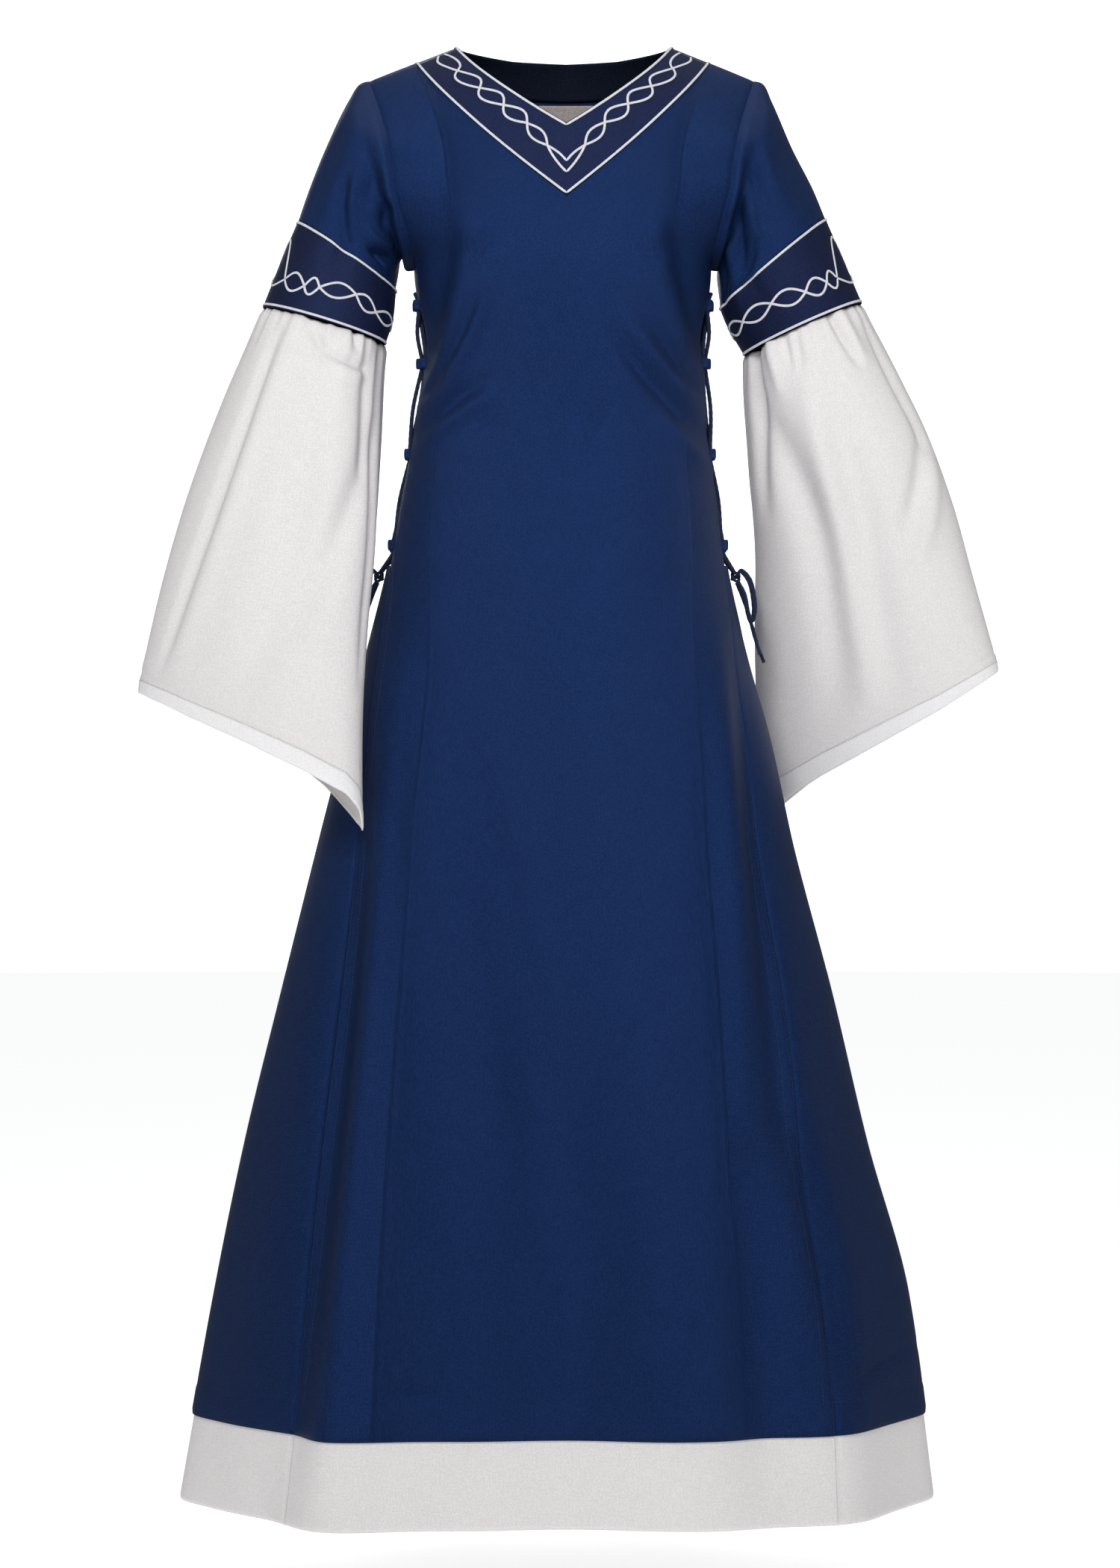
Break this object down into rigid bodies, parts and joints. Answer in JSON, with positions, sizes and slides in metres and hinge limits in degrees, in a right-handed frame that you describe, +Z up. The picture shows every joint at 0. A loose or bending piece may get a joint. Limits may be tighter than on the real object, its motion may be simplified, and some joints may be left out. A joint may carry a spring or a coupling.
{
  "type": "medieval gown",
  "caption": "Long worn medieval gown: blue canvas, V neck, embroidered bands, flared natural sleeves, laced sides, natural hem band.",
  "frame": {"origin": "at shoulder level, midway between the two neck points and midway between front and back", "axes": "+Z up, the gown's front faces -Y, +X is the wearer's left"},
  "size_m": [0.8646, 0.5052, 1.4536],
  "materials": {
    "blue_canvas": "matt plain-weave cotton canvas, royal blue",
    "navy_band": "matt dark navy cotton with off-white corded embroidery",
    "natural_cotton": "matt natural off-white cotton",
    "neck_facing": "matt, very dark navy",
    "label_cloth": "smooth woven tape, bare",
    "lace_cloth": "matt blue cotton tape and lace"
  },
  "bodies": {
    "root": {"front_panel": "blue_canvas", "back_panel": "blue_canvas", "side_gore_right": "blue_canvas", "side_gore_left": "blue_canvas", "upper_sleeve_right": "blue_canvas", "upper_sleeve_left": "blue_canvas", "neck_band_front": "navy_band", "neck_band_back": "navy_band", "sleeve_band_right": "navy_band", "sleeve_band_left": "navy_band", "lower_sleeve_right": "natural_cotton", "lower_sleeve_left": "natural_cotton", "hem_band_front": "natural_cotton", "hem_band_back": "natural_cotton", "hem_band_right_gore": "natural_cotton", "hem_band_left_gore": "natural_cotton", "back_neck_facing": "neck_facing", "neck_label": "label_cloth", "loop_right_front_1": "lace_cloth", "loop_right_front_2": "lace_cloth", "loop_right_front_3": "lace_cloth", "loop_right_front_4": "lace_cloth", "bow_loop_right_front": "lace_cloth", "lace_end_right_front": "lace_cloth", "loop_right_back_1": "lace_cloth", "loop_right_back_2": "lace_cloth", "loop_right_back_3": "lace_cloth", "loop_right_back_4": "lace_cloth", "bow_loop_right_back": "lace_cloth", "lace_end_right_back": "lace_cloth", "lace_right": "lace_cloth", "lace_knot_right": "lace_cloth", "loop_left_front_1": "lace_cloth", "loop_left_front_2": "lace_cloth", "loop_left_front_3": "lace_cloth", "loop_left_front_4": "lace_cloth", "bow_loop_left_front": "lace_cloth", "lace_end_left_front": "lace_cloth", "loop_left_back_1": "lace_cloth", "loop_left_back_2": "lace_cloth", "loop_left_back_3": "lace_cloth", "loop_left_back_4": "lace_cloth", "bow_loop_left_back": "lace_cloth", "lace_end_left_back": "lace_cloth", "lace_left": "lace_cloth", "lace_knot_left": "lace_cloth"}
  },
  "joints": []
}
